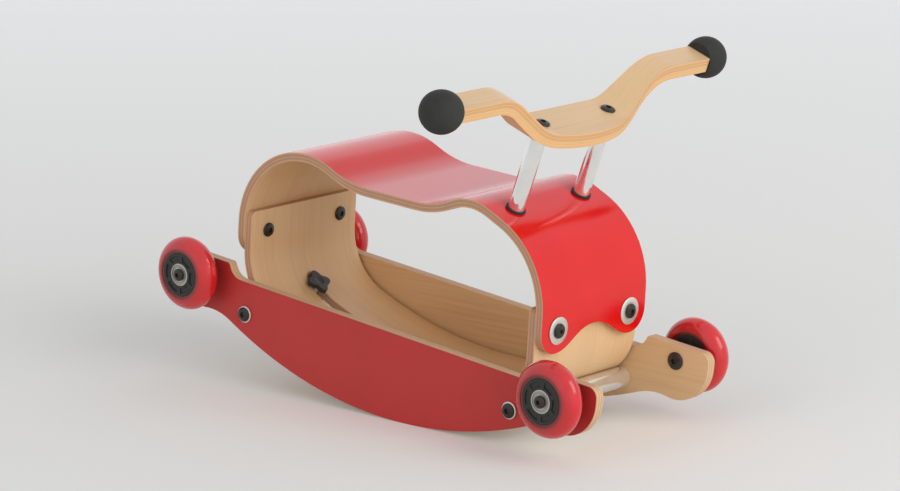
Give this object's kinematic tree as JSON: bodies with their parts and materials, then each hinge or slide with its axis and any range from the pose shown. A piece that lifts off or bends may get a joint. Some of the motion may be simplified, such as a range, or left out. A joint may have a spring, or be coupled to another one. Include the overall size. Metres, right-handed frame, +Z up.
{
  "type": "rocking horse",
  "caption": "Bent-plywood rocking horse: a saddle loop with a handlebar and ball grips, clamped between rocker panels whose wheels let it be turned over into a ride-on.",
  "frame": {"origin": "on the floor under the rocker edges, below the centre of the bounding box", "axes": "+X forward, towards the handlebar; +Y to the left of the rider; +Z up. The horse rests on its rocker edges, about 6 degrees nose-down."},
  "size_m": [0.53, 0.4212, 0.3469],
  "materials": {
    "birch_ply": "satin",
    "red_ply": "satin",
    "red_lacquer": "gloss",
    "red_tyre": "gloss",
    "black_plastic": "satin",
    "black_steel": "satin",
    "black_rubber": "matte",
    "chrome": "polished",
    "bright_steel": "satin"
  },
  "bodies": {
    "horse": {"side_panel_left": "red_ply", "side_panel_right": "red_ply", "cross_tube_front": "chrome", "cross_tube_rear": "chrome", "tube_bolt_front_left": "black_steel", "axle_sleeve_front_left": "black_steel", "axle_screw_front_left": "black_steel", "wheel_spacer_front_left": "bright_steel", "tube_bolt_front_right": "black_steel", "axle_sleeve_front_right": "black_steel", "axle_screw_front_right": "black_steel", "wheel_spacer_front_right": "bright_steel", "tube_bolt_rear_left": "black_steel", "axle_sleeve_rear_left": "black_steel", "axle_screw_rear_left": "black_steel", "wheel_spacer_rear_left": "bright_steel", "tube_bolt_rear_right": "black_steel", "axle_sleeve_rear_right": "black_steel", "axle_screw_rear_right": "black_steel", "wheel_spacer_rear_right": "bright_steel", "tray": "birch_ply", "seat_shell": "red_lacquer", "clamp_stud": "bright_steel", "rear_joint_bolt_left": "black_steel", "eye_bolt_left": "black_steel", "eye_washer_left": "bright_steel", "eye_nut_left": "black_steel", "post_left": "chrome", "post_ring_left": "black_rubber", "post_base_bolt_left": "black_steel", "handlebar_bolt_left": "black_steel", "grip_left": "black_rubber", "rear_joint_bolt_right": "black_steel", "eye_bolt_right": "black_steel", "eye_washer_right": "bright_steel", "eye_nut_right": "black_steel", "post_right": "chrome", "post_ring_right": "black_rubber", "post_base_bolt_right": "black_steel", "handlebar_bolt_right": "black_steel", "grip_right": "black_rubber", "handlebar": "birch_ply"},
    "wheel_front_left": {"tyre_front_left": "red_tyre", "wheel_core_front_left": "black_plastic", "inner_bearing_front_left": "bright_steel", "outer_bearing_front_left": "bright_steel"},
    "wheel_front_right": {"tyre_front_right": "red_tyre", "wheel_core_front_right": "black_plastic", "inner_bearing_front_right": "bright_steel", "outer_bearing_front_right": "bright_steel"},
    "wheel_rear_left": {"tyre_rear_left": "red_tyre", "wheel_core_rear_left": "black_plastic", "inner_bearing_rear_left": "bright_steel", "outer_bearing_rear_left": "bright_steel"},
    "wheel_rear_right": {"tyre_rear_right": "red_tyre", "wheel_core_rear_right": "black_plastic", "inner_bearing_rear_right": "bright_steel", "outer_bearing_rear_right": "bright_steel"},
    "washer": {"clamp_washer": "bright_steel"},
    "knob": {"star_knob": "black_plastic"}
  },
  "joints": [
    {"name": "roll_front_left", "type": "hinge", "parent": "horse", "child": "wheel_front_left", "pos_m": [0.22703, 0.1082, 0.06093], "axis": [0, 1, 0], "continuous": true},
    {"name": "roll_front_right", "type": "hinge", "parent": "horse", "child": "wheel_front_right", "pos_m": [0.22703, -0.1082, 0.06093], "axis": [0, 1, 0], "continuous": true},
    {"name": "roll_rear_left", "type": "hinge", "parent": "horse", "child": "wheel_rear_left", "pos_m": [-0.22746, 0.1082, 0.1087], "axis": [0, 1, 0], "continuous": true},
    {"name": "roll_rear_right", "type": "hinge", "parent": "horse", "child": "wheel_rear_right", "pos_m": [-0.22746, -0.1082, 0.1087], "axis": [0, 1, 0], "continuous": true},
    {"name": "washer_lift", "type": "slide", "parent": "horse", "child": "washer", "axis": [0.6293, 0, 0.7771], "range_m": [0, 0.00375]},
    {"name": "knob_turn", "type": "hinge", "parent": "washer", "child": "knob", "pos_m": [-0.15474, 0, 0.0921], "axis": [0.6293, 0, 0.7771], "range_deg": [0, 1079.9]}
  ],
  "couplings": [
    {"joint": "washer_lift", "follows": "knob_turn", "m_per_rad": 0.00019894}
  ]
}
